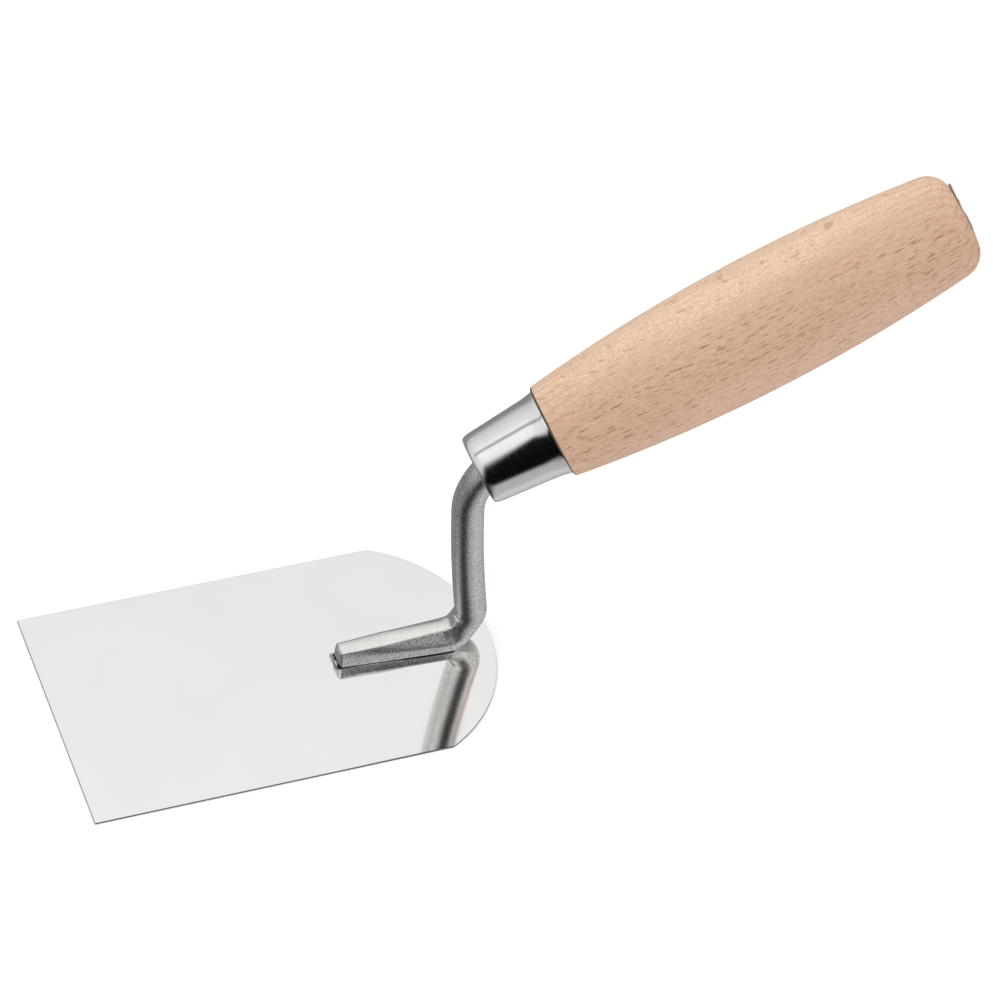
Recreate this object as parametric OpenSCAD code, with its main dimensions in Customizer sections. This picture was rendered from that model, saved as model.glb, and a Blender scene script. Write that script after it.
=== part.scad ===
// Plasterer's trowel: a flat stainless blade, a forged cranked shank and a turned wooden handle.
// Origin: centre of the blade's underside. +X runs from the blade towards the handle, +Z is up.

/* [Blade] */
// Width of the blade across its straight sides
blade_w = 80; // [60:1:100]
// Overall length of the blade along its centre line
blade_l = 134; // [120:1:150]
// Thickness of the sheet
blade_t = 0.7; // [0.5:0.1:1.2]
// Radius of the rounded rear end
blade_rear_r = 44.5; // [44:0.5:60]

/* [Shoe] */
// Length of the shoe, the flat foot of the shank that is welded to the blade
shoe_l = 35; // [28:1:42]
// Width of the shoe at its front end
shoe_front_w = 6.2; // [5:0.1:8]
// Width of the shoe at its rear end
shoe_rear_w = 11.3; // [10:0.1:13]
// Height of the upright side faces at the front
shoe_side_h_front = 3.6; // [2:0.1:4]
// Height of the upright side faces at the rear
shoe_side_h_rear = 3.3; // [2:0.1:4]
// Width of the flat on top of the shoe
shoe_top_w = 4.8; // [4:0.1:5]
// Height of the flat on top at the front
shoe_top_h_front = 5.7; // [4.5:0.1:6]
// Height of the flat on top at the rear
shoe_top_h_rear = 6.6; // [6:0.1:7.2]
// Gap between the blade and the shoe, bridged by the spot welds
weld_gap = 0.2; // [0.1:0.05:0.3]

/* [Neck and tang] */
// Radius of the round bar that the shank is forged from
bar_r = 4.8; // [4:0.1:5]
// Distance of the neck's foot from the rear edge of the blade
neck_setback = 13.2; // [10:0.1:16]
// Centre-line radius of the tight bend at the foot
foot_bend_r = 6.5; // [6:0.1:8]
// Direction of the neck above the tight bend, in degrees from level
neck_lean = 99; // [96:0.5:102]
// Centre-line radius of the long, slight bend of the neck
long_bend_r = 505; // [400:5:600]
// Direction of the neck where the long bend ends
neck_top_lean = 94; // [92:0.5:95]
// Centre-line radius of the upper bend, which turns into the handle
top_bend_r = 21.5; // [19:0.5:22]
// Upward tilt of the handle, in degrees from level
handle_tilt = 25.7; // [20:0.1:30]
// Radius of the tang through the handle
tang_r = 3.2; // [2.5:0.1:4]

/* [Ferrule] */
// Length of the ferrule
ferrule_l = 23.9; // [20:0.1:30]
// Outer radius of the ferrule's cone at its front edge
ferrule_front_r = 10.7; // [10.6:0.1:12]
// Outer radius of the ferrule's cone at its rear edge
ferrule_rear_r = 12.7; // [12.5:0.1:13.5]
// Extra radius of the flared rear rim
ferrule_flare = 0.4; // [0:0.1:0.8]
// Wall thickness of the ferrule
ferrule_wall = 0.6; // [0.5:0.05:0.7]
// How far the ferrule reaches over the upper bend
ferrule_reach = 11.6; // [11:0.1:12]

/* [Handle] */
// Length of the handle behind the ferrule
grip_l = 133.4; // [120:0.1:145]
// Greatest radius of the handle
grip_r = 19.1; // [17:0.1:20]
// Distance of the thickest place from the ferrule
grip_crest = 69; // [60:1:80]
// Radius of the long curve of the grip
grip_curve_r = 496; // [450:1:600]
// Radius of the rounded edge at the butt
butt_round = 7.8; // [5:0.1:9]

/* [Rivet washer] */
// Radius of the washer that the tang is riveted over
washer_r = 10.2; // [9:0.1:11]
// Thickness of the washer
washer_t = 1.2; // [1:0.1:1.6]
// Depth of the seat turned into the butt for the washer
washer_seat = 1.1; // [0.5:0.05:1.1]
// Radius of the riveted tang end
rivet_r = 5; // [4.2:0.1:6]

/* [Hidden] */
$fn = 96;
steel = [0.80, 0.80, 0.79];
satin_steel = [0.58, 0.57, 0.55];
polished_steel = [0.86, 0.86, 0.86];
beech = [0.85, 0.68, 0.54];

// Blade: its front edge, its rear end and the centre of the rear curve
blade_front = -blade_l / 2;
rear_curve_x = blade_l / 2 - blade_rear_r;

// Shoe: its ends, its underside and the thickness of the slices that it is lofted from
shoe_rear_x = blade_l / 2 - neck_setback;
shoe_front_x = shoe_rear_x - shoe_l;
shoe_z = blade_t + weld_gap;
shoe_corner_r = 1.3;
shoe_top_corner_r = 0.7;
shoe_top_setback = 1.4;
slice = 0.1;
knuckle_start = 4.5;
knuckle_turn = 50;
knuckle_inside = 15;
knuckle_taper = 0.6;

// Neck: centre-line points [x, z] where one bend ends and the next begins
foot = [shoe_rear_x, shoe_z + bar_r];
bend_1_end = foot + foot_bend_r * [sin(neck_lean), 1 - cos(neck_lean)];
bend_2_end = bend_1_end + long_bend_r * turn_step(neck_lean, neck_top_lean);
bend_3_end = bend_2_end + top_bend_r * turn_step(neck_top_lean, handle_tilt);

// Slight swelling of the bar where one bend meets the next
joint_swell = 0.05;

// Stations along the handle's axis, counted from the end of the upper bend
ferrule_start = -ferrule_reach;
ferrule_end = ferrule_start + ferrule_l;
butt_end = ferrule_end + grip_l;
washer_start = butt_end - washer_seat;
washer_end = washer_start + washer_t;
tang_shoulder = 3;
tang_neck_end = 18;

// Ferrule: the rolled front lip and the flared rear rim
lip_l = 0.9;
lip_drop = 0.6;
lip_hole_r = 9.75;
flare_l = 2.2;

// Handle: its spigot and clearances, the chamfered shoulder, the crest and the butt's overlap
nose_setback = 1.7;
fit_gap = 0.08;
bore_gap = 0.25;
mouth_wall = 1.8;
shoulder_chamfer = 0.5;
crest_z = ferrule_end + grip_crest;
butt_lap = 0.9;

// Spot welds: their number, size and spacing along the shoe
weld_count = 4;
weld_r = 1.3;
weld_first = 5;
weld_pitch = 8;

// Change of place along an arc of radius 1 that turns downwards from one heading to another
function turn_step(from, to) = [sin(from) - sin(to), cos(to) - cos(from)];

// Outer radius of the ferrule's cone at a station
function ferrule_r(station) =
    ferrule_front_r + (ferrule_rear_r - ferrule_front_r) * (station - ferrule_start) / ferrule_l;

// Radius of the grip's arc at the ferrule
function front_shoulder_r() =
    grip_r - grip_curve_r + sqrt(pow(grip_curve_r, 2) - pow(grip_crest, 2));

// Radius at which the rounded edge of the butt is centred
function butt_corner_r() =
    grip_r - grip_curve_r - butt_round
    + sqrt(pow(grip_curve_r, 2) - pow(butt_end - butt_round - crest_z, 2));

// Puts a shape's +Z axis on the handle's axis, with zero at the end of the upper bend
module along_handle() {
    translate([bend_3_end[0], 0, bend_3_end[1]])
        rotate([0, 90 - handle_tilt, 0])
            children();
}

// Arc of round bar in the XZ plane: centre [x, z], first angle from +X towards +Z, and sweep
module bar_arc(centre, radius, first, sweep) {
    translate([centre[0], 0, centre[1]])
        rotate([90, 0, 0])
            rotate([0, 0, first])
                rotate_extrude(angle = sweep)
                    translate([radius, 0])
                        circle(r = bar_r);
}

// One upright slice across the shoe: full width low down, then narrowing to the flat on top
module shoe_slice(x, width, side_h, top_h) {
    translate([x, -width / 2, shoe_z])
        cube([slice, width, side_h]);
    translate([x, -shoe_top_w / 2, shoe_z])
        cube([slice, shoe_top_w, top_h]);
}

module shoe() {
    hull() {
        for (side = [-1, 1]) {
            corner_y = side * (shoe_front_w / 2 - shoe_corner_r);
            translate([shoe_front_x + shoe_corner_r, corner_y, shoe_z])
                cylinder(r = shoe_corner_r, h = shoe_side_h_front, $fn = 32);
            top_y = side * (shoe_top_w / 2 - shoe_top_corner_r);
            translate([shoe_front_x + shoe_top_setback + shoe_top_corner_r, top_y, shoe_z])
                cylinder(r = shoe_top_corner_r, h = shoe_top_h_front, $fn = 32);
        }
        shoe_slice(shoe_rear_x, shoe_rear_w, shoe_side_h_rear, shoe_top_h_rear);
    }
}

// The knuckle blends the rear of the shoe into the round bar
module knuckle() {
    centre = foot + [0, foot_bend_r];
    hull() {
        shoe_slice(
            shoe_rear_x - knuckle_start,
            shoe_rear_w - knuckle_taper,
            shoe_side_h_rear,
            shoe_top_h_rear - slice
        );
        translate([shoe_rear_x, -shoe_rear_w / 2, shoe_z])
            cube([slice, shoe_rear_w, shoe_side_h_rear]);
        translate([centre[0], 0, centre[1]])
            rotate([0, -knuckle_turn, 0])
                translate([0, 0, -foot_bend_r])
                    rotate([0, 90, 0])
                        cylinder(r = bar_r, h = slice, $fn = 32);
    }
}

module blade() {
    color(steel)
        linear_extrude(blade_t)
            intersection() {
                translate([blade_front, -blade_w / 2])
                    square([blade_l, blade_w]);
                union() {
                    translate([blade_front, -blade_w / 2])
                        square([rear_curve_x - blade_front, blade_w]);
                    translate([rear_curve_x, 0])
                        circle(r = blade_rear_r, $fn = 360);
                }
            }
}

// One forging: the shoe, the cranked neck and the tang that runs through the handle
module shank() {
    foot_centre = foot + [0, foot_bend_r];
    long_centre = bend_1_end + long_bend_r * [sin(neck_lean), -cos(neck_lean)];
    top_centre = bend_2_end + top_bend_r * [sin(neck_top_lean), -cos(neck_top_lean)];
    color(satin_steel) {
        shoe();
        knuckle();
        bar_arc(foot_centre, foot_bend_r, knuckle_inside - 90, neck_lean - knuckle_inside);
        bar_arc(long_centre, long_bend_r, neck_top_lean + 90, neck_lean - neck_top_lean);
        bar_arc(top_centre, top_bend_r, handle_tilt + 90, neck_top_lean - handle_tilt);
        for (joint = [bend_1_end, bend_2_end, bend_3_end])
            translate([joint[0], 0, joint[1]])
                sphere(r = bar_r + joint_swell);
        along_handle()
            rotate_extrude()
                polygon([
                    [0, 0],
                    [bar_r, 0],
                    [bar_r, tang_shoulder],
                    [tang_r, tang_neck_end],
                    [tang_r, washer_start],
                    [rivet_r, washer_end],
                    [0, washer_end]
                ]);
    }
}

module weld_spots() {
    color(satin_steel)
        for (i = [0 : weld_count - 1])
            translate([shoe_front_x + weld_first + i * weld_pitch, 0, blade_t])
                cylinder(r = weld_r, h = weld_gap);
}

module ferrule() {
    rim_start = ferrule_end - flare_l;
    lip_end = ferrule_start + lip_l;
    color(polished_steel)
        along_handle()
            rotate_extrude()
                polygon([
                    [lip_hole_r, ferrule_start],
                    [ferrule_r(ferrule_start) - lip_drop, ferrule_start],
                    [ferrule_r(lip_end), lip_end],
                    [ferrule_r(rim_start), rim_start],
                    [ferrule_rear_r + ferrule_flare, ferrule_end],
                    [ferrule_rear_r - ferrule_wall, ferrule_end],
                    [ferrule_r(lip_end) - ferrule_wall, lip_end]
                ]);
}

// Half outline of the grip: one long arc, cut square at the ferrule and rounded at the butt
module grip_outline() {
    intersection() {
        translate([grip_r - grip_curve_r, crest_z])
            circle(r = grip_curve_r, $fn = 1440);
        union() {
            translate([0, ferrule_end])
                square([grip_r, grip_l - butt_round + butt_lap]);
            translate([0, ferrule_end])
                square([butt_corner_r(), grip_l]);
            translate([butt_corner_r(), butt_end - butt_round])
                circle(r = butt_round);
        }
    }
}

// Turned from one blank: the grip, the spigot inside the ferrule, the bore and the washer's seat
module handle() {
    nose_start = ferrule_start + nose_setback;
    nose_r = ferrule_r(nose_start) - ferrule_wall - fit_gap;
    shoulder_r = front_shoulder_r();
    clear_r = shoulder_r + 1;
    color(beech)
        along_handle()
            rotate_extrude()
                difference() {
                    union() {
                        grip_outline();
                        polygon([
                            [0, nose_start],
                            [nose_r, nose_start],
                            [ferrule_rear_r - ferrule_wall - fit_gap, ferrule_end],
                            [0, ferrule_end]
                        ]);
                    }
                    polygon([
                        [shoulder_r - shoulder_chamfer, ferrule_end],
                        [clear_r, ferrule_end],
                        [clear_r, ferrule_end + clear_r - shoulder_r + shoulder_chamfer]
                    ]);
                    polygon([
                        [0, nose_start],
                        [nose_r - mouth_wall, nose_start],
                        [bar_r + bore_gap, 0],
                        [bar_r + bore_gap, tang_shoulder],
                        [tang_r + bore_gap, tang_neck_end],
                        [tang_r + bore_gap, washer_start],
                        [washer_r + fit_gap, washer_start],
                        [washer_r + fit_gap, washer_end],
                        [0, washer_end]
                    ]);
                }
}

module rivet_washer() {
    color(polished_steel)
        along_handle()
            rotate_extrude()
                polygon([
                    [tang_r + fit_gap, washer_start],
                    [washer_r, washer_start],
                    [washer_r, washer_end],
                    [rivet_r + fit_gap, washer_end]
                ]);
}

blade();
shank();
weld_spots();
ferrule();
handle();
rivet_washer();
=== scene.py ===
"""Looks of a plasterer's trowel: a mirror-polished blade, a forged shank and a beech handle.

Lengths are in metres, in the frame of the CAD model: the origin is the centre of the blade's
underside, +X runs towards the handle and +Z is up.
"""
import math

import bmesh
import bpy
import numpy as np
from mathutils import Matrix, Vector


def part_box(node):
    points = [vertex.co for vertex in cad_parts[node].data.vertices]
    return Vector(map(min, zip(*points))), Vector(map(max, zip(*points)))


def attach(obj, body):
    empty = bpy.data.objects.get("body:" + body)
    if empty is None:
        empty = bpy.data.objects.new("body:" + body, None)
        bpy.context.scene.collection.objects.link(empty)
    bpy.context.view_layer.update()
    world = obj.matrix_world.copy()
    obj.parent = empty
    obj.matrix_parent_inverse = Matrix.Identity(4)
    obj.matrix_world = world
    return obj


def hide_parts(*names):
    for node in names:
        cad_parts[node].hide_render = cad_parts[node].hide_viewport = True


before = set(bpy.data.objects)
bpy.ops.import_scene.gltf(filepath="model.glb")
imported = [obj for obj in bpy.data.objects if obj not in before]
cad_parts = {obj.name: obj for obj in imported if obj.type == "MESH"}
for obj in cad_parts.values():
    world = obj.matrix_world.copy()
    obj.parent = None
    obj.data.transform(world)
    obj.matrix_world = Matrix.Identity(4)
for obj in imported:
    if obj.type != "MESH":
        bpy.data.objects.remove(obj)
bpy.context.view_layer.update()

MM = 0.001

# The shank's bends, as in the CAD model
BAR_R = 4.8 * MM
WELD_GAP = 0.2 * MM
SHOE_L = 35.0 * MM
FOOT_BEND_R = 6.5 * MM
LONG_BEND_R = 505.0 * MM
TOP_BEND_R = 21.5 * MM
NECK_LEAN = math.radians(99.0)
NECK_TOP_LEAN = math.radians(94.0)
HANDLE_TILT = math.radians(25.7)

# The grip's long curve and the rounding of its butt, as in the CAD model
GRIP_R = 19.1 * MM
GRIP_CREST = 69.0 * MM
GRIP_CURVE_R = 496.0 * MM
BUTT_ROUND = 7.8 * MM

# The ferrule's cone, and the tang and its riveted end, as in the CAD model
FERRULE_FRONT_R = 10.7 * MM
FERRULE_REAR_R = 12.7 * MM
FERRULE_WALL = 0.6 * MM
TANG_R = 3.2 * MM
RIVET_R = 5.0 * MM
FIT_GAP = 0.08 * MM

# How finely round shapes are divided
TURNED_SIDES = 192
SHANK_SIDES = 128


# ---------------------------------------------------------------- mesh helpers

def turn_outwards(mesh):
    """Turns all faces of a closed mesh outwards."""
    work = bmesh.new()
    work.from_mesh(mesh)
    bmesh.ops.recalc_face_normals(work, faces=work.faces)
    work.to_mesh(mesh)
    work.free()


def make_piece(name, verts, faces, slot, node, sharp_deg=40.0):
    """A closed mesh in place of a CAD node, riding on the root body."""
    mesh = bpy.data.meshes.new(name)
    mesh.from_pydata([tuple(v) for v in verts], [], faces)
    mesh.validate()
    mesh.polygons.foreach_set("use_smooth", [True] * len(mesh.polygons))
    mesh.set_sharp_from_angle(angle=math.radians(sharp_deg))
    mesh.materials.append(MATERIALS[slot])
    turn_outwards(mesh)
    piece = bpy.data.objects.new(name, mesh)
    bpy.context.scene.collection.objects.link(piece)
    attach(piece, "root")
    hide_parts(node)
    return piece


def ring_faces(rings, sides, closed=False):
    """Quads between successive rings of vertices; closed joins the last ring to the first."""
    faces = []
    last = rings if closed else rings - 1
    for i in range(last):
        a, b = i * sides, ((i + 1) % rings) * sides
        for j in range(sides):
            k = (j + 1) % sides
            faces.append((a + j, a + k, b + k, b + j))
    return faces


def rounded(corners, steps=5):
    """A closed outline through corners (station, radius, rounding), with each corner rounded."""
    points = []
    count = len(corners)
    for i, (s, r, rounding) in enumerate(corners):
        here = Vector((s, r))
        if rounding <= 0:
            points.append(here)
            continue
        back = Vector(corners[i - 1][:2]) - here
        ahead = Vector(corners[(i + 1) % count][:2]) - here
        back_dir, ahead_dir = back.normalized(), ahead.normalized()
        half = math.acos(max(-1.0, min(1.0, back_dir.dot(ahead_dir)))) / 2
        reach = min(rounding / math.tan(half), 0.49 * back.length, 0.49 * ahead.length)
        radius = reach * math.tan(half)
        centre = here + (back_dir + ahead_dir).normalized() * (radius / math.sin(half))
        start, end = here + back_dir * reach - centre, here + ahead_dir * reach - centre
        turn = start.angle_signed(end)
        for k in range(steps + 1):
            point = start.copy()
            point.rotate(Matrix.Rotation(-turn * k / steps, 2))
            points.append(centre + point)
    return points


def turned(outline, sides=TURNED_SIDES):
    """Vertices and faces of a ring-shaped solid turned about local Z from (station, radius)."""
    verts = []
    for s, r in outline:
        for j in range(sides):
            a = 2 * math.pi * j / sides
            verts.append((r * math.cos(a), r * math.sin(a), s))
    return verts, ring_faces(len(outline), sides, closed=True)


# ---------------------------------------------------------------- the shank's centre line

blade_lo, blade_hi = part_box("blade")
shank_lo, shank_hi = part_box("shank")
SHOE_Z = blade_hi.z + WELD_GAP
FOOT = Vector((shank_lo.x + SHOE_L, SHOE_Z + BAR_R))


def heading_dir(angle):
    return Vector((math.cos(angle), math.sin(angle)))


def left_of(angle):
    return Vector((-math.sin(angle), math.cos(angle)))


FOOT_CENTRE = FOOT + FOOT_BEND_R * left_of(0)
BEND_1_END = FOOT_CENTRE - FOOT_BEND_R * left_of(NECK_LEAN)
LONG_CENTRE = BEND_1_END - LONG_BEND_R * left_of(NECK_LEAN)
BEND_2_END = LONG_CENTRE + LONG_BEND_R * left_of(NECK_TOP_LEAN)
TOP_CENTRE = BEND_2_END - TOP_BEND_R * left_of(NECK_TOP_LEAN)
BEND_3_END = TOP_CENTRE + TOP_BEND_R * left_of(HANDLE_TILT)

LEN_1 = FOOT_BEND_R * NECK_LEAN
LEN_2 = LONG_BEND_R * (NECK_LEAN - NECK_TOP_LEAN)
LEN_3 = TOP_BEND_R * (NECK_TOP_LEAN - HANDLE_TILT)
NECK_LENGTH = LEN_1 + LEN_2 + LEN_3


def centre_line(u):
    """Point (x, z) and heading at a length u along the bar, counted from the foot."""
    u = float(u)
    if u <= 0:
        return FOOT + Vector((u, 0)), 0.0
    if u <= LEN_1:
        angle = u / FOOT_BEND_R
        return FOOT_CENTRE - FOOT_BEND_R * left_of(angle), angle
    if u <= LEN_1 + LEN_2:
        angle = NECK_LEAN - (u - LEN_1) / LONG_BEND_R
        return LONG_CENTRE + LONG_BEND_R * left_of(angle), angle
    if u <= NECK_LENGTH:
        angle = NECK_TOP_LEAN - (u - LEN_1 - LEN_2) / TOP_BEND_R
        return TOP_CENTRE + TOP_BEND_R * left_of(angle), angle
    return BEND_3_END + (u - NECK_LENGTH) * heading_dir(HANDLE_TILT), HANDLE_TILT


# ---------------------------------------------------------------- the handle's axis

AXIS_ORIGIN = Vector((BEND_3_END.x, 0, BEND_3_END.y))
AXIS = Vector((math.cos(HANDLE_TILT), 0, math.sin(HANDLE_TILT)))
ACROSS = Vector((math.sin(HANDLE_TILT), 0, -math.cos(HANDLE_TILT)))
SIDEWAYS = Vector((0, 1, 0))
ON_AXIS = Matrix.Translation(AXIS_ORIGIN) @ Matrix.Rotation(math.pi / 2 - HANDLE_TILT, 4, "Y")


def stations(node):
    """First and last station of a CAD node along the handle's axis, and its greatest radius."""
    co = np.array([v.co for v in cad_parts[node].data.vertices]) - np.array(AXIS_ORIGIN)
    along = co @ np.array(AXIS)
    off = np.linalg.norm(co - np.outer(along, np.array(AXIS)), axis=1)
    return float(along.min()), float(along.max()), float(off.max())


FERRULE_START, FERRULE_END, FERRULE_RIM_R = stations("ferrule")
WASHER_START, WASHER_END, WASHER_R = stations("rivet_washer")
NOSE_START, BUTT_END, _ = stations("handle")


# ---------------------------------------------------------------- material helpers

def put(tree, kind, inputs=None, **settings):
    """Adds a node; inputs holds values or output sockets by input name or number."""
    new = tree.nodes.new("ShaderNode" + kind)
    for key, value in settings.items():
        setattr(new, key, value)
    for key, value in (inputs or {}).items():
        if isinstance(value, bpy.types.NodeSocket):
            tree.links.new(value, new.inputs[key])
        else:
            new.inputs[key].default_value = value
    return new


def math_node(tree, operation, a, b=0.0):
    return put(tree, "Math", {0: a, 1: b}, operation=operation).outputs[0]


def plus(tree, a, b):
    return math_node(tree, "ADD", a, b)


def minus(tree, a, b):
    return math_node(tree, "SUBTRACT", a, b)


def times(tree, a, b):
    return math_node(tree, "MULTIPLY", a, b)


def ramp01(tree, value, low, high, out_low=0.0, out_high=1.0):
    """A smooth step of value from low to high."""
    settings = {"Value": value, "From Min": low, "From Max": high}
    settings.update({"To Min": out_low, "To Max": out_high})
    return put(tree, "MapRange", settings, interpolation_type="SMOOTHSTEP").outputs["Result"]


def mix_colour(tree, amount, a, b, blend="MIX"):
    new = put(tree, "Mix", data_type="RGBA", blend_type=blend)
    for socket, value in ((new.inputs[0], amount), (new.inputs[6], a), (new.inputs[7], b)):
        if isinstance(value, bpy.types.NodeSocket):
            tree.links.new(value, socket)
        else:
            socket.default_value = value
    return new.outputs[2]


def vector_node(tree, operation, a, b=(0.0, 0.0, 0.0)):
    return put(tree, "VectorMath", {0: a, 1: b}, operation=operation).outputs[0]


def stretched(tree, vector, scale):
    """The coordinates multiplied by a scale for each axis."""
    return vector_node(tree, "MULTIPLY", vector, scale)


def parts(tree, vector):
    """The X, Y and Z of a vector."""
    return put(tree, "SeparateXYZ", {"Vector": vector}).outputs


def noise(tree, vector, scale, detail=3.0, rough=0.5):
    settings = {"Vector": vector, "Scale": scale, "Detail": detail, "Roughness": rough}
    return put(tree, "TexNoise", settings).outputs["Fac"]


def new_material(name):
    """A material, its node tree, its main shader and its object coordinates."""
    material = bpy.data.materials.new(name)
    material.use_nodes = True
    tree = material.node_tree
    shader = tree.nodes["Principled BSDF"]
    coords = put(tree, "TexCoord").outputs["Object"]
    return material, tree, shader, coords


def dot(tree, vector, direction):
    return put(tree, "VectorMath", {0: vector, 1: direction}, operation="DOT_PRODUCT").outputs["Value"]


def in_axes(tree, coords, first, second, third):
    """Object coordinates counted from the handle's origin along three directions."""
    moved = vector_node(tree, "SUBTRACT", coords, AXIS_ORIGIN)
    along = {"X": dot(tree, moved, first), "Y": dot(tree, moved, second), "Z": dot(tree, moved, third)}
    return put(tree, "CombineXYZ", along).outputs[0]


def surface_normal(tree):
    return put(tree, "NewGeometry").outputs["Normal"]


def grey_ramp(tree, value, stops):
    """A grey that follows value (0 to 1) through (place, grey) stops."""
    ramp = put(tree, "ValToRGB", {"Fac": value})
    points = ramp.color_ramp.elements
    while len(points) < len(stops):
        points.new(0.5)
    for point, (place, grey) in zip(points, stops):
        point.position = place
        point.color = (grey, grey, grey, 1)
    return ramp.outputs["Color"]


def part_of(tree, value, low, high):
    """How far value is from low to high, 0 to 1."""
    settings = {"Value": value, "From Min": low, "From Max": high}
    return put(tree, "MapRange", settings).outputs["Result"]


def bump(tree, shader, height, strength, distance, normal=None):
    inputs = {"Strength": strength, "Distance": distance, "Height": height}
    if normal is not None:
        inputs["Normal"] = normal
    result = put(tree, "Bump", inputs).outputs["Normal"]
    tree.links.new(result, shader.inputs["Normal"])
    return result


# ---------------------------------------------------------------- materials

def painted_shade_under_shoe(tree, coords):
    """1 on the blade under the shoe, 0 elsewhere: where shade is painted into the gap under the shoe.
    """
    at = parts(tree, coords)
    tip, foot, fade = shank_lo.x, FOOT.x, 0.2 * MM
    half = ramp01(tree, at["X"], tip, foot, 3.1 * MM, 5.6 * MM)
    beside = minus(tree, math_node(tree, "ABSOLUTE", at["Y"]), half)
    length = times(tree, ramp01(tree, at["X"], tip, tip + 0.3 * MM),
                   ramp01(tree, at["X"], foot + 1.0 * MM, foot))
    return times(tree, ramp01(tree, beside, fade, 0.0), length)


def weld_stain(tree, coords):
    """Dark speckled stain on the blade round the shoe's tip."""
    half, reach = 2.4 * MM, 2.4 * MM
    at = parts(tree, coords)
    ahead = math_node(tree, "ABSOLUTE", minus(tree, at["X"], shank_lo.x))
    beside = minus(tree, math_node(tree, "ABSOLUTE", at["Y"]), half)
    beside = math_node(tree, "MAXIMUM", beside, 0.0)
    away = plus(tree, times(tree, ahead, ahead), math_node(tree, "POWER", beside, 2.0))
    away = math_node(tree, "SQRT", away)
    broken = noise(tree, coords, 2600.0, 2.0, 0.7)
    level = plus(tree, part_of(tree, away, reach, 0.0), times(tree, broken, 1.1))
    return ramp01(tree, level, 0.98, 1.32, 0.0, 0.8)


def blade_steel():
    """Mirror-polished sheet: even reflections, faint polishing lines, duller cut edges, and painted
    shade under the shoe.
    """
    material, tree, shader, coords = new_material("blade_steel")
    shader.inputs["Metallic"].default_value = 1.0
    lines = noise(tree, stretched(tree, coords, (120.0, 9000.0, 1.0)), 1.0, 4.0, 0.6)
    clouds = noise(tree, coords, 28.0, 2.0)
    cloudy = ramp01(tree, clouds, 0.3, 0.7)
    tone = mix_colour(tree, cloudy, (0.845, 0.84, 0.83, 1), (0.865, 0.86, 0.85, 1))
    upright = parts(tree, surface_normal(tree))["Z"]
    edge = ramp01(tree, math_node(tree, "ABSOLUTE", upright), 0.97, 0.8)
    # Painted shade: the blade under the shoe is made dull and near black, standing in for the shadow
    # in the gap below the shoe
    shoe_shade = painted_shade_under_shoe(tree, coords)
    dull = math_node(tree, "MAXIMUM", edge, shoe_shade)
    tone = mix_colour(tree, dull, tone, (0.30, 0.295, 0.29, 1))
    tone = mix_colour(tree, weld_stain(tree, coords), tone, (0.12, 0.115, 0.11, 1))
    # Painted shadow under the shoe: near black
    tone = mix_colour(tree, shoe_shade, tone, (0.03, 0.028, 0.026, 1))
    tree.links.new(tone, shader.inputs["Base Color"])
    smear = plus(tree, ramp01(tree, lines, 0.3, 0.8, 0.035, 0.085),
                 ramp01(tree, clouds, 0.35, 0.75, 0.0, 0.03))
    smear = plus(tree, smear, times(tree, dull, 0.4))
    tree.links.new(smear, shader.inputs["Roughness"])
    ripple = noise(tree, coords, 45.0, 1.0)
    normal = bump(tree, shader, ripple, 0.25, 0.06 * MM)
    bump(tree, shader, lines, 0.05, 0.01 * MM, normal)
    return material


def forged_steel():
    """Satin forged bar: bright where it is smooth, with the dark grain of a tumbled finish."""
    material, tree, shader, coords = new_material("forged_steel")
    shader.inputs["Metallic"].default_value = 1.0
    grain = noise(tree, coords, 1700.0, 3.0, 0.85)
    patches = noise(tree, coords, 230.0, 3.0, 0.6)
    patchy = ramp01(tree, patches, 0.3, 0.7)
    base = mix_colour(tree, patchy, (0.80, 0.785, 0.76, 1), (0.87, 0.855, 0.83, 1))
    # The top of the shoe is polished smooth; the rest keeps the grain
    upright = parts(tree, surface_normal(tree))["Z"]
    rough = ramp01(tree, upright, 0.97, 0.85, 0.2, 1.0)
    dark = times(tree, ramp01(tree, grain, 0.53, 0.41, 0.0, 0.52), rough)
    tone = mix_colour(tree, dark, base, (0.20, 0.185, 0.17, 1))
    tree.links.new(tone, shader.inputs["Base Color"])
    uneven = plus(tree, ramp01(tree, patches, 0.3, 0.75, 0.13, 0.18),
                  ramp01(tree, grain, 0.3, 0.7, 0.0, 0.06))
    tree.links.new(uneven, shader.inputs["Roughness"])
    normal = bump(tree, shader, times(tree, grain, rough), 1.0, 0.09 * MM)
    bump(tree, shader, patches, 0.06, 0.06 * MM, normal)
    return material


def polished_steel():
    """Polished sheet: sharp reflections, fine turning marks and a few tiny specks."""
    material, tree, shader, coords = new_material("polished_steel")
    coords = in_axes(tree, coords, SIDEWAYS, ACROSS, AXIS)
    shader.inputs["Metallic"].default_value = 1.0
    marks = noise(tree, stretched(tree, coords, (60.0, 60.0, 5000.0)), 1.0, 3.0, 0.6)
    specks = put(tree, "TexVoronoi", {"Vector": coords, "Scale": 900.0}).outputs["Distance"]
    marked = ramp01(tree, marks, 0.3, 0.7)
    tone = mix_colour(tree, marked, (0.84, 0.84, 0.835, 1), (0.9, 0.9, 0.895, 1))
    tree.links.new(tone, shader.inputs["Base Color"])
    smear = plus(tree, ramp01(tree, marks, 0.3, 0.8, 0.09, 0.17),
                 ramp01(tree, specks, 0.12, 0.02, 0.0, 0.35))
    tree.links.new(smear, shader.inputs["Roughness"])
    bump(tree, shader, marks, 0.06, 0.01 * MM)
    return material


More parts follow.
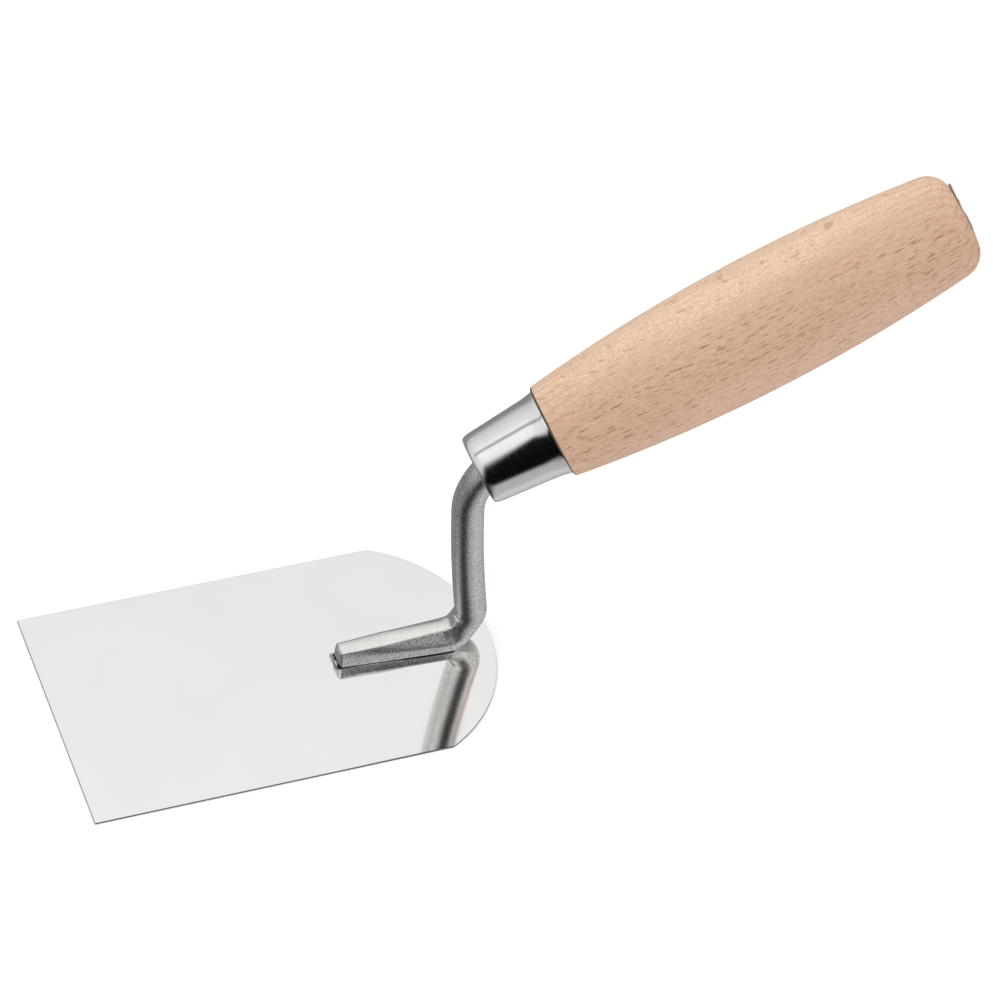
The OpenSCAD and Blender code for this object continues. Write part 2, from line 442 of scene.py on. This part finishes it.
# Beech: the direction out from the pith, and how far the grain leans from the handle's axis
RADIAL_TURN = math.radians(-111.0)
GRAIN_LEAN = math.radians(1.0)
RADIAL = ACROSS * math.cos(RADIAL_TURN) + SIDEWAYS * math.sin(RADIAL_TURN)
ALONG_RINGS = AXIS.cross(RADIAL)
RINGS_PER_METRE = 350.0
RING_BEND = 7.0


def wood_axes(tree, coords):
    """Coordinates out from the pith, along the rings and along the grain: straight and wavy."""
    lean = math.sin(GRAIN_LEAN)
    straight = in_axes(tree, coords, RADIAL, ALONG_RINGS - AXIS * lean, AXIS + ALONG_RINGS * lean)
    wander = put(tree, "TexNoise", {"Vector": straight, "Scale": 30.0, "Detail": 2.0})
    centred = vector_node(tree, "SUBTRACT", wander.outputs["Color"], (0.5, 0.5, 0.5))
    drift = stretched(tree, centred, (3.0 * MM, 1.2 * MM, 0.0))
    return straight, vector_node(tree, "ADD", straight, drift)


def spindles(tree, wavy, cell, size, shift):
    """Small spindles in the wood: cell and half size in mm along its axes, and the pattern's shift.

    Returns a mask and a random number for each spindle.
    """
    scaled = stretched(tree, wavy, [1 / (c * MM) for c in cell])
    moved = vector_node(tree, "ADD", scaled, shift)
    cells = put(tree, "TexVoronoi", {"Vector": moved, "Scale": 1.0, "Randomness": 1.0})
    offset = vector_node(tree, "SUBTRACT", moved, cells.outputs["Position"])
    fitted = stretched(tree, offset, [c / k for c, k in zip(cell, size)])
    away = put(tree, "VectorMath", {0: fitted}, operation="LENGTH").outputs["Value"]
    chance = put(tree, "SeparateColor", {"Color": cells.outputs["Color"]}).outputs["Red"]
    return ramp01(tree, away, 1.0, 0.65), chance


def wood_tone_and_painted_light(tree, coords, straight):
    """Slow changes of colour, partly the wood's own tone and partly painted light and shade: cream on
    the upper side, redder in the middle, paler and pinker below.
    """
    slow = noise(tree, stretched(tree, straight, (60.0, 60.0, 14.0)), 1.0, 3.0)
    # The tone runs along a direction fixed to the handle, up and away from its near side. It paints
    # light and shade across the grip: cream on the upper side, darkest in the middle, paler again
    # below
    upward = (SIDEWAYS * 0.785 - ACROSS * 0.62) / GRIP_R
    level = plus(tree, dot(tree, coords, upward), ramp01(tree, slow, 0.25, 0.75, -0.16, 0.16))
    level = plus(tree, level, -upward.dot(AXIS_ORIGIN))
    lower = ramp01(tree, level, -0.95, -0.45)
    colour = mix_colour(tree, lower, (0.655, 0.450, 0.330, 1), (0.590, 0.384, 0.262, 1))
    return mix_colour(tree, ramp01(tree, level, 0.12, 0.85), colour, (0.79, 0.590, 0.422, 1))


def growth_rings(tree, wavy, along):
    """Dark late wood, clearest on the end grain at the butt and beside the ferrule."""
    at = parts(tree, wavy)
    sag = times(tree, at["Y"], at["Y"])
    depth = minus(tree, at["X"], times(tree, sag, RING_BEND))
    ring = math_node(tree, "FRACT", times(tree, depth, RINGS_PER_METRE))
    late = times(tree, ramp01(tree, ring, 0.45, 0.9), ramp01(tree, ring, 1.0, 0.95))
    butt = ramp01(tree, along, BUTT_END - 18.0 * MM, BUTT_END - 6.0 * MM, 0.1, 0.5)
    front = ramp01(tree, along, FERRULE_END + 22.0 * MM, FERRULE_END, 0.0, 0.3)
    return times(tree, late, plus(tree, butt, front))


def wood_rays(tree, wavy):
    """The rays' dashes, of a short and a long kind."""
    short, chance = spindles(tree, wavy, (4.2, 1.4, 4.6), (3.0, 0.14, 1.15), (3.1, 7.7, 1.3))
    short = times(tree, short, ramp01(tree, chance, 0.1, 0.8, 0.3, 0.85))
    long, chance = spindles(tree, wavy, (4.8, 2.0, 6.6), (3.4, 0.18, 2.05), (11.5, 2.2, 5.9))
    long = times(tree, long, ramp01(tree, chance, 0.15, 0.8, 0.35, 0.95))
    return math_node(tree, "MAXIMUM", short, long)


def beech():
    """Turned beech: rays as short reddish dashes, faint growth rings, fine fibres and pores."""
    material, tree, shader, coords = new_material("beech")
    straight, wavy = wood_axes(tree, coords)
    along = parts(tree, straight)["Z"]
    colour = wood_tone_and_painted_light(tree, coords, straight)
    rings = growth_rings(tree, wavy, along)
    colour = mix_colour(tree, rings, colour, (0.50, 0.27, 0.15, 1))

    # Fibres and pores: fine mottling everywhere, a little longer than wide
    mottle = noise(tree, stretched(tree, wavy, (2300.0, 2300.0, 1500.0)), 1.0, 3.0, 0.7)
    fibres = noise(tree, stretched(tree, wavy, (2800.0, 2800.0, 150.0)), 1.0, 4.0, 0.6)
    streaks = noise(tree, stretched(tree, wavy, (700.0, 420.0, 22.0)), 1.0, 3.0, 0.6)
    streaky = ramp01(tree, streaks, 0.4, 0.75, 0.0, 0.2)
    colour = mix_colour(tree, streaky, colour, (0.60, 0.36, 0.25, 1))
    mottled = ramp01(tree, mottle, 0.38, 0.64, 0.0, 0.62)
    colour = mix_colour(tree, mottled, colour, (0.47, 0.26, 0.175, 1))
    fibrous = ramp01(tree, fibres, 0.62, 0.3, 0.0, 0.18)
    colour = mix_colour(tree, fibrous, colour, (0.88, 0.72, 0.58, 1))

    # Rays are dark and narrow where the rings face outwards, soft flecks on the quarter faces
    rays = wood_rays(tree, wavy)
    facing = math_node(tree, "ABSOLUTE", dot(tree, surface_normal(tree), ALONG_RINGS))
    quarter = ramp01(tree, facing, 0.45, 0.85)
    tint = mix_colour(tree, quarter, (0.27, 0.115, 0.065, 1), (0.56, 0.33, 0.20, 1))
    colour = mix_colour(tree, rays, colour, tint)
    # The dark line where the wood meets the ferrule: painted shade in the joint's gap
    seam = ramp01(tree, along, FERRULE_END + 0.6 * MM, FERRULE_END + 0.2 * MM, 0.0, 0.85)
    colour = mix_colour(tree, seam, colour, (0.05, 0.03, 0.02, 1))
    tree.links.new(colour, shader.inputs["Base Color"])

    tree.links.new(ramp01(tree, mottle, 0.3, 0.8, 0.5, 0.64), shader.inputs["Roughness"])
    shader.inputs["Specular IOR Level"].default_value = 0.3
    normal = bump(tree, shader, mottle, 0.16, 0.05 * MM)
    bump(tree, shader, minus(tree, 1.0, rays), 0.25, 0.05 * MM, normal)
    return material


def floor_white():
    """A plain white floor with a trace of tooth."""
    material, tree, shader, coords = new_material("floor_white")
    tooth = noise(tree, coords, 900.0, 2.0)
    tone = mix_colour(tree, tooth, (0.86, 0.86, 0.86, 1), (0.88, 0.88, 0.88, 1))
    tree.links.new(tone, shader.inputs["Base Color"])
    shader.inputs["Roughness"].default_value = 0.9
    shader.inputs["Specular IOR Level"].default_value = 0.1
    shader.inputs["Emission Color"].default_value = (1, 1, 1, 1)
    shader.inputs["Emission Strength"].default_value = 0.12
    return material


MATERIALS = {
    "blade_steel": blade_steel(),
    "forged_steel": forged_steel(),
    "polished_steel": polished_steel(),
    "beech": beech(),
}


# ---------------------------------------------------------------- the blade

BLADE_REAR_R = 44.5 * MM
EDGE_BREAK = 0.1 * MM


def blade_outline(inset):
    """Points (x, y) down the far side and back along the near side, moved inwards by inset."""
    centre = blade_hi.x - BLADE_REAR_R
    corner = centre + math.sqrt(BLADE_REAR_R ** 2 - blade_hi.y ** 2)
    stops = np.linspace(blade_lo.x + inset, corner - 0.35 * inset, 28)
    side = [(x, blade_hi.y - inset) for x in stops]
    radius = BLADE_REAR_R - inset
    first = math.asin((blade_hi.y - inset) / radius)
    arc = []
    for a in np.linspace(first, 0.0, 49)[1:]:
        arc.append((centre + radius * math.cos(a), radius * math.sin(a)))
    far = side + arc
    near = [(x, -y) for x, y in reversed(far[:-1])]
    return far + near


def make_blade():
    top, bottom = blade_hi.z, blade_lo.z
    b = EDGE_BREAK
    levels = [(b, bottom), (0.3 * b, bottom + 0.3 * b), (0.0, bottom + b),
              (0.0, top - b), (0.3 * b, top - 0.3 * b), (b, top)]
    verts = []
    for inset, z in levels:
        verts += [(x, y, z) for x, y in blade_outline(inset)]
    sides = len(blade_outline(0.0))
    faces = ring_faces(len(levels), sides)
    # Top and bottom: strips between opposite points of the far and near sides
    half = sides // 2
    for base, flip in ((0, True), ((len(levels) - 1) * sides, False)):
        for i in range(half):
            a, c = base + i, base + i + 1
            d, e = base + sides - 1 - i, base + sides - 2 - i
            quad = (a, c, d) if c == e else (a, c, e, d)
            faces.append(tuple(reversed(quad)) if flip else quad)
    blade = make_piece("blade_sheet", verts, faces, "blade_steel", "blade", 12.0)
    # The neck and shoe don't mirror the blade
    blade.visible_glossy = False


# ---------------------------------------------------------------- the shank

# Rings are measured from a pole inside the section, which rises to the bar's middle.
# Shoe sizes in mm, by distance from the foot: half width, side height, and the top flat's half
# width and height
SHOE_SIZES = {
    -33.7: (3.05, 3.70, 2.60, 5.55),
    -20.0: (4.25, 3.55, 2.95, 5.95),
    -2.2: (5.55, 3.25, 2.30, 6.45),
}
SHOE_TIP = -33.7 * MM
HEEL_RISE_START = -2.2 * MM
ROUND_FROM = -0.5 * MM
ROUND_TO = 7.0 * MM
SHOE_EDGE_POWER = 17.0
POLE_HEIGHT = 3.1 * MM
POLE_RISE_START = -8.0 * MM
FAR_BREAK = math.radians(68)
FAR_BREAK_DEPTH = 0.5 * MM


def smooth(t):
    t = max(0.0, min(1.0, t))
    return t * t * (3 - 2 * t)


def shoe_section(u):
    """Half width, side height, flat half width and flat height at u, in metres."""
    keys = sorted(SHOE_SIZES)
    values = [np.interp(u / MM, keys, [SHOE_SIZES[k][i] for k in keys]) * MM for i in range(4)]
    if u > HEEL_RISE_START:
        rise = (u - HEEL_RISE_START) / (FOOT_BEND_R * math.radians(50) - HEEL_RISE_START)
        values[3] += (2 * BAR_R - values[3]) * min(1.0, rise)
    return values


def bar_radius(u):
    """Radius of the round bar, and of the tang, which is flared in the washer."""
    station = u - NECK_LENGTH
    shoulder, thin = 3.0 * MM, 18.0 * MM
    if station <= shoulder:
        return BAR_R
    radius = BAR_R + (TANG_R - BAR_R) * smooth((station - shoulder) / (thin - shoulder))
    if station > WASHER_START:
        radius += (RIVET_R - TANG_R) * (station - WASHER_START) / (WASHER_END - WASHER_START)
    return radius


KNUCKLE_RISE = 0.35 * MM
KNUCKLE_AT = math.radians(26)
KNUCKLE_SIDE = math.radians(116)


def knuckle(u, side):
    """How far the small pressed pad inside the bend stands out, at u and an angle round the bar."""
    along = abs(u / FOOT_BEND_R - KNUCKLE_AT) / math.radians(30)
    round_bar = abs(side - KNUCKLE_SIDE) / math.radians(24)
    return KNUCKLE_RISE * smooth(2.2 * (1 - along)) * smooth(2.2 * (1 - round_bar))


def shoe_planes(u, pole):
    """The shoe's faces at u: the direction each faces and its distance from the pole."""
    half, side_h, flat, flat_h = shoe_section(u)
    chamfer = math.atan2(half - flat, flat_h - side_h)
    chamfer_d = math.cos(chamfer) * half + math.sin(chamfer) * (side_h - pole)
    corner_d = math.cos(FAR_BREAK) * flat + math.sin(FAR_BREAK) * (flat_h - pole)
    return [(0.0, half), (math.pi, half), (-math.pi / 2, pole), (math.pi / 2, flat_h - pole),
            (chamfer, chamfer_d), (math.pi - chamfer, chamfer_d),
            (FAR_BREAK, corner_d - FAR_BREAK_DEPTH)]


def faceted_radius(planes, a):
    """Distance from the pole at angle a, inside all the planes, with softened edges."""
    total = 0.0
    for direction, distance in planes:
        reach = math.cos(a - direction) / distance
        if reach > 0:
            total += (reach * MM) ** SHOE_EDGE_POWER
    return MM * total ** (-1 / SHOE_EDGE_POWER)


def shank_ring(u, scale=1.0, shift=0.0):
    """One ring of the shank in the plane across its centre line; shift moves it along."""
    point, angle = centre_line(u)
    upward = left_of(angle)
    roundness = smooth((u - ROUND_FROM) / (ROUND_TO - ROUND_FROM))
    part = smooth((u - POLE_RISE_START) / (ROUND_TO - POLE_RISE_START))
    pole = POLE_HEIGHT + (BAR_R - POLE_HEIGHT) * part
    drop = pole - BAR_R
    planes = shoe_planes(u, pole)
    radius = bar_radius(u)
    ring = []
    for j in range(SHANK_SIDES):
        a = 2 * math.pi * j / SHANK_SIDES
        shoe_r = faceted_radius(planes, a) if roundness < 1.0 else 0.0
        bar_r = -drop * math.sin(a) + math.sqrt(radius ** 2 - (drop * math.cos(a)) ** 2)
        r = ((1 - roundness) * shoe_r + roundness * bar_r + knuckle(u, a)) * scale
        place = point + upward * (r * math.sin(a) + drop) + heading_dir(angle) * shift
        ring.append(Vector((place.x, r * math.cos(a), place.y)))
    return ring


def make_shank():
    rings = []
    bulge, tip = 1.25 * MM, 0.25 * MM
    for scale in (0.02, 0.35, 0.6, 0.8, 0.92, 0.975, 0.995):
        rings.append(shank_ring(SHOE_TIP, scale, -tip - bulge * (1 - scale ** 2.2)))
    rings.append(shank_ring(SHOE_TIP, 1.0, -0.12 * MM))
    stops = list(np.linspace(SHOE_TIP, -4.0 * MM, 44)) + list(np.linspace(-3.7 * MM, LEN_1, 64))
    stops += list(np.linspace(LEN_1 + 0.6 * MM, LEN_1 + LEN_2, 56))
    stops += list(np.linspace(LEN_1 + LEN_2 + 0.4 * MM, NECK_LENGTH, 48))
    stops += [NECK_LENGTH + s * MM for s in np.linspace(0.8, 18.0, 18)]
    stops += list(np.linspace(NECK_LENGTH + 24 * MM, NECK_LENGTH + WASHER_START, 14))
    stops += list(np.linspace(NECK_LENGTH + WASHER_START, NECK_LENGTH + WASHER_END, 5))[1:]
    rings += [shank_ring(u) for u in stops]
    end = stops[-1]
    for scale, rise in ((0.93, 0.10), (0.75, 0.17), (0.45, 0.22), (0.02, 0.24)):
        rings.append(shank_ring(end, scale, rise * MM))
    verts = [v for ring in rings for v in ring]
    faces = ring_faces(len(rings), SHANK_SIDES)
    faces.append(tuple(reversed(range(SHANK_SIDES))))
    faces.append(tuple(range(len(verts) - SHANK_SIDES, len(verts))))
    make_piece("shank_forging", verts, faces, "forged_steel", "shank", 60.0)


# ---------------------------------------------------------------- turned pieces

def make_turned(name, outline, slot, node, tilt=(0.0, 0.0), shift=0.0):
    """A turned piece on the handle's axis; tilt is how far it leans and which side is raised."""
    verts, faces = turned(outline)
    lean = math.tan(tilt[0])
    rise = (lean * math.cos(tilt[1]), lean * math.sin(tilt[1]))
    verts = [Vector((x, y, z + shift + rise[0] * x + rise[1] * y)) for x, y, z in verts]
    make_piece(name, [ON_AXIS @ v for v in verts], faces, slot, node)


def cone(s):
    """Radius of the ferrule's cone at station s."""
    part = (s - FERRULE_START) / (FERRULE_END - FERRULE_START)
    return FERRULE_FRONT_R + (FERRULE_REAR_R - FERRULE_FRONT_R) * part


def make_ferrule():
    flare, flare_l = 0.4 * MM, 2.2 * MM
    lip_l, hole_r = 1.2 * MM, 9.75 * MM
    front_l, front_drop = 2.6 * MM, 0.85 * MM

    def outside(s):
        curl = max(0.0, (s - (FERRULE_END - 2 * flare_l)) / (2 * flare_l))
        turn_in = max(0.0, 1.0 - (s - FERRULE_START) / front_l)
        return cone(s) + flare * curl ** 1.6 - front_drop * (1 - math.sqrt(1 - turn_in ** 2))

    lip = FERRULE_START + lip_l
    last = FERRULE_END - 0.3 * MM
    corners = [(FERRULE_START + 0.2 * MM, hole_r, 0.08 * MM), (FERRULE_START, hole_r + 0.1 * MM, 0.0)]
    for s in FERRULE_START + front_l * (1 - np.cos(np.linspace(0.06, math.pi / 2, 22))):
        corners.append((float(s), outside(s), 0.0))
    for s in np.linspace(FERRULE_START + front_l + 0.5 * MM, last, 36):
        corners.append((float(s), outside(s), 0.0))
    corners += [(FERRULE_END, outside(last), 0.2 * MM),
                (FERRULE_END, FERRULE_REAR_R - FERRULE_WALL, 0.05 * MM),
                (lip, cone(lip) - FERRULE_WALL, 0.5 * MM)]
    make_turned("ferrule_cone", rounded(corners, 8), "polished_steel", "ferrule")


def make_handle():
    bore_gap, mouth_wall = 0.25 * MM, 1.8 * MM
    crest = FERRULE_END + GRIP_CREST
    nose_r = cone(NOSE_START) - FERRULE_WALL - FIT_GAP

    def grip(s):
        return GRIP_R - GRIP_CURVE_R + math.sqrt(GRIP_CURVE_R ** 2 - (s - crest) ** 2)

    # The butt's rounding touches the long curve and the end plane
    round_s = BUTT_END - BUTT_ROUND
    reach = GRIP_CURVE_R - BUTT_ROUND
    round_r = GRIP_R - GRIP_CURVE_R + math.sqrt(reach ** 2 - (round_s - crest) ** 2)
    lean = math.asin((round_s - crest) / reach)
    seat_r = WASHER_R + FIT_GAP
    seat_turn = math.acos((seat_r + 0.12 * MM - round_r) / BUTT_ROUND)
    shoulder = grip(FERRULE_END)
    corners = [(FERRULE_END, FERRULE_REAR_R - FERRULE_WALL - FIT_GAP, 0.0),
               (FERRULE_END, shoulder - 0.55 * MM, 0.25 * MM),
               (FERRULE_END + 0.55 * MM, grip(FERRULE_END + 0.55 * MM), 0.35 * MM)]
    last = crest + GRIP_CURVE_R * math.sin(lean)
    for s in np.linspace(FERRULE_END + 2.0 * MM, last, 72):
        corners.append((s, grip(s), 0.0))
    for a in np.linspace(lean, seat_turn, 22)[1:]:
        corners.append((round_s + BUTT_ROUND * math.sin(a), round_r + BUTT_ROUND * math.cos(a), 0.0))
    corners += [(corners[-1][0] - 0.02 * MM, seat_r, 0.04 * MM),
                (WASHER_START, seat_r, 0.05 * MM),
                (WASHER_START, TANG_R + bore_gap, 0.1 * MM),
                (18.0 * MM, TANG_R + bore_gap, 2.0 * MM),
                (3.0 * MM, BAR_R + bore_gap, 1.0 * MM),
                (0.0, BAR_R + bore_gap, 1.5 * MM),
                (NOSE_START, nose_r - mouth_wall, 0.4 * MM),
                (NOSE_START, nose_r, 0.3 * MM)]
    make_turned("beech_handle", rounded(corners, 6), "beech", "handle")


def make_washer():
    """The washer, which the rivet has drawn in a little deeper on one side."""
    seat = WASHER_START + 0.7 * MM
    flared = (seat - WASHER_START) / (WASHER_END - WASHER_START)
    corners = [(seat, TANG_R + (RIVET_R - TANG_R) * flared + FIT_GAP, 0.0),
               (seat, WASHER_R, 0.1 * MM),
               (WASHER_END, WASHER_R, 0.25 * MM),
               (WASHER_END, RIVET_R + FIT_GAP, 0.08 * MM)]
    lean = (math.radians(2.6), math.radians(130.0))
    make_turned("butt_washer", rounded(corners, 6), "polished_steel", "rivet_washer",
                tilt=lean, shift=-0.28 * MM)


# ---------------------------------------------------------------- welds

def lump(centre, size, seed, rings=10, sides=24):
    """A small uneven lump, flat below: centre of its base and half sizes along X, Y and Z."""
    rng = np.random.default_rng(seed)
    phase = rng.uniform(0, 2 * math.pi, 4)
    verts = []
    for i in range(rings + 1):
        t = i / rings * math.pi / 2
        for j in range(sides):
            a = 2 * math.pi * j / sides
            wave = 1 + 0.10 * math.sin(2 * a + phase[0]) + 0.07 * math.sin(3 * a + phase[1])
            wave += 0.04 * math.sin(5 * a + phase[2])
            out = max(0.02, math.cos(t)) * wave
            verts.append((centre[0] + size[0] * out * math.cos(a),
                          centre[1] + size[1] * out * math.sin(a),
                          centre[2] + size[2] * math.sin(t)))
    faces = ring_faces(rings + 1, sides)
    faces.append(tuple(reversed(range(sides))))
    faces.append(tuple(range(rings * sides, (rings + 1) * sides)))
    return verts, faces


def join(parts):
    """Several (vertices, faces) pairs as one."""
    verts, faces = [], []
    for part_verts, part_faces in parts:
        start = len(verts)
        verts += part_verts
        faces += [tuple(start + k for k in face) for face in part_faces]
    return verts, faces


def make_welds():
    lo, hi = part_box("weld_spots")
    spots = []
    for i, x in enumerate(np.linspace(lo.x + 1.3 * MM, hi.x - 1.3 * MM, 4)):
        spots.append(lump((x, 0, blade_hi.z), (1.3 * MM, 1.3 * MM, WELD_GAP), 10 + i, 4))
    tip = shank_lo.x
    spots.append(lump((tip + 0.1 * MM, -0.4 * MM, blade_hi.z), (0.4 * MM, 1.2 * MM, 0.18 * MM), 3))
    verts, faces = join(spots)
    make_piece("weld_nuggets", verts, faces, "forged_steel", "weld_spots", 60.0)


# ---------------------------------------------------------------- stage

def make_floor():
    verts, faces = [], []
    size, cells = 4.0, 8
    for i in range(cells + 1):
        for j in range(cells + 1):
            verts.append((size * (i / cells - 0.5) * 2, size * (j / cells - 0.5) * 2, -0.02 * MM))
    for i in range(cells):
        for j in range(cells):
            a = i * (cells + 1) + j
            faces.append((a, a + cells + 1, a + cells + 2, a + 1))
    mesh = bpy.data.meshes.new("floor")
    mesh.from_pydata(verts, [], faces)
    mesh.materials.append(floor_white())
    floor = bpy.data.objects.new("floor", mesh)
    bpy.context.scene.collection.objects.link(floor)
    floor.visible_glossy = False


def directions(tree, vector):
    """Height above level, and turn from -Y towards -X, of a direction, in degrees."""
    at = parts(tree, vector)
    height = times(tree, math_node(tree, "ARCSINE", at["Z"]), 180 / math.pi)
    turn = math_node(tree, "ARCTAN2", times(tree, at["X"], -1.0), times(tree, at["Y"], -1.0))
    return height, times(tree, turn, 180 / math.pi)


def dark_side(tree, height, turn, first=-48.0, full=-16.0):
    """1 in the dark part of the room, on the -Y side, fading to 0 round it."""
    below = ramp01(tree, height, 60.0, 50.0)
    above = ramp01(tree, height, -26.0, -8.0)
    sides = times(tree, ramp01(tree, turn, first, full), ramp01(tree, turn, 55.0, 34.0))
    return times(tree, times(tree, below, above), sides)


CARD_R = 60.0 * MM
CARD_HEIGHTS = (-35, 65)
CARD_TURNS = (-55, 62)


def card_material(centre):
    """Black, and see-through outside the dark part of the room as seen from the centre."""
    material, tree, shader, coords = new_material("black_card")
    away = vector_node(tree, "NORMALIZE", vector_node(tree, "SUBTRACT", coords, centre))
    height, turn = directions(tree, away)
    shader.inputs["Base Color"].default_value = (0.004, 0.004, 0.004, 1)
    shader.inputs["Roughness"].default_value = 1.0
    shader.inputs["Specular IOR Level"].default_value = 0.0
    dark = dark_side(tree, height, turn)
    tree.links.new(times(tree, dark, dark), shader.inputs["Alpha"])
    return material


def make_black_card():
    """A black card curved round the ferrule's near side, which only reflections see."""
    centre = AXIS_ORIGIN + AXIS * (FERRULE_START + FERRULE_END) / 2
    rows, columns = 24, 32
    verts = []
    for height in np.radians(np.linspace(*CARD_HEIGHTS, rows)):
        for turn in np.radians(np.linspace(*CARD_TURNS, columns)):
            level = Vector((-math.sin(turn), -math.cos(turn), 0))
            away = level * math.cos(height) + Vector((0, 0, math.sin(height)))
            verts.append(tuple(centre + away * CARD_R))
    faces = []
    for i in range(rows - 1):
        for j in range(columns - 1):
            a = i * columns + j
            faces.append((a, a + 1, a + 1 + columns, a + columns))
    mesh = bpy.data.meshes.new("black_card")
    mesh.from_pydata(verts, [], faces)
    mesh.materials.append(card_material(centre))
    card = bpy.data.objects.new("black_card", mesh)
    bpy.context.scene.collection.objects.link(card)
    card.visible_camera = False
    card.visible_diffuse = False
    card.visible_shadow = False
    card.visible_transmission = False


# How bright the studio is at each height above level, and below level at each turn
ROOM_BY_HEIGHT = ((-4, 0.27), (2, 0.36), (14, 0.62), (31, 0.76), (43, 0.83), (46.5, 0.91),
                  (53, 1.02), (62, 1.02), (90, 1.0))
ROOM_BY_TURN = ((-180, 0.24), (-150, 0.34), (-110, 0.52), (-70, 0.60), (-35, 0.66), (-18, 0.50),
                (0, 0.46), (12, 0.22), (23, 0.05), (54, 0.04), (70, 0.12), (84, 0.30),
                (120, 0.25), (150, 0.30), (165, 0.34), (180, 0.24))
DARK_DEPTH = 0.82
SEAM_DEPTH = 0.66
SEAM_LEAN = 0.24


def studio(tree, direction, height, turn):
    """The room that reflections see: dark on one side, with a seam between overhead panels."""
    up_stops = [(0.5 + h / 180, 0.5 * grey) for h, grey in ROOM_BY_HEIGHT]
    low_stops = [(0.5 + t / 360, 0.5 * grey) for t, grey in ROOM_BY_TURN]
    upper = grey_ramp(tree, part_of(tree, height, -90, 90), up_stops)
    lower = grey_ramp(tree, part_of(tree, turn, -180, 180), low_stops)
    room = mix_colour(tree, ramp01(tree, height, -22.0, -6.0), lower, upper)
    dark = dark_side(tree, height, turn, -32.0, -7.0)
    at = parts(tree, direction)
    seam = minus(tree, at["Y"], times(tree, at["Z"], SEAM_LEAN))
    seam = math_node(tree, "ABSOLUTE", seam)
    seam = times(tree, ramp01(tree, seam, 0.14, 0.0), ramp01(tree, at["Z"], 0.5, 0.7))
    lit = times(tree, minus(tree, 1.0, times(tree, dark, DARK_DEPTH)),
                minus(tree, 1.0, times(tree, seam, SEAM_DEPTH)))
    return times(tree, times(tree, room, 2.0), lit)


def make_world():
    """White to the camera, the studio to reflections, and soft light from above to matt surfaces."""
    world = bpy.data.worlds.new("studio")
    bpy.context.scene.world = world
    world.use_nodes = True
    tree = world.node_tree
    tree.nodes.clear()
    direction = put(tree, "TexCoord").outputs["Generated"]
    height, turn = directions(tree, direction)
    path = put(tree, "LightPath").outputs
    soft = ramp01(tree, height, -10.0, 85.0, 0.55, 1.95)
    room = {0: path["Is Diffuse Ray"], 2: studio(tree, direction, height, turn), 3: soft}
    light = put(tree, "Mix", room, data_type="FLOAT").outputs[0]
    seen = {0: path["Is Camera Ray"], 2: light, 3: 1.0}
    light = put(tree, "Mix", seen, data_type="FLOAT").outputs[0]
    background = put(tree, "Background", {"Color": (1, 1, 1, 1), "Strength": light})
    out = put(tree, "OutputWorld")
    tree.links.new(background.outputs[0], out.inputs["Surface"])


def make_camera():
    """The camera: the point it looks at, its distance from it, and its turn, height and roll."""
    aim = Vector((61.62, -7.13, 66.58)) * MM
    distance = 1.45
    turn, height, roll = math.radians(-25.52), math.radians(46.70), math.radians(7.82)
    towards = Matrix.Rotation(turn, 4, "Z") @ Matrix.Rotation(math.pi / 2 - height, 4, "X")
    data = bpy.data.cameras.new("camera")
    data.sensor_width = 36.0
    data.lens = 181.6
    data.clip_end = 50.0
    camera = bpy.data.objects.new("camera", data)
    place = aim + towards @ Vector((0, 0, distance))
    camera.matrix_world = Matrix.Translation(place) @ towards @ Matrix.Rotation(roll, 4, "Z")
    bpy.context.scene.collection.objects.link(camera)
    bpy.context.scene.camera = camera


make_blade()
make_shank()
make_ferrule()
make_handle()
make_washer()
make_welds()
make_floor()
make_black_card()
make_world()
make_camera()
bpy.context.scene.view_settings.view_transform = "Standard"
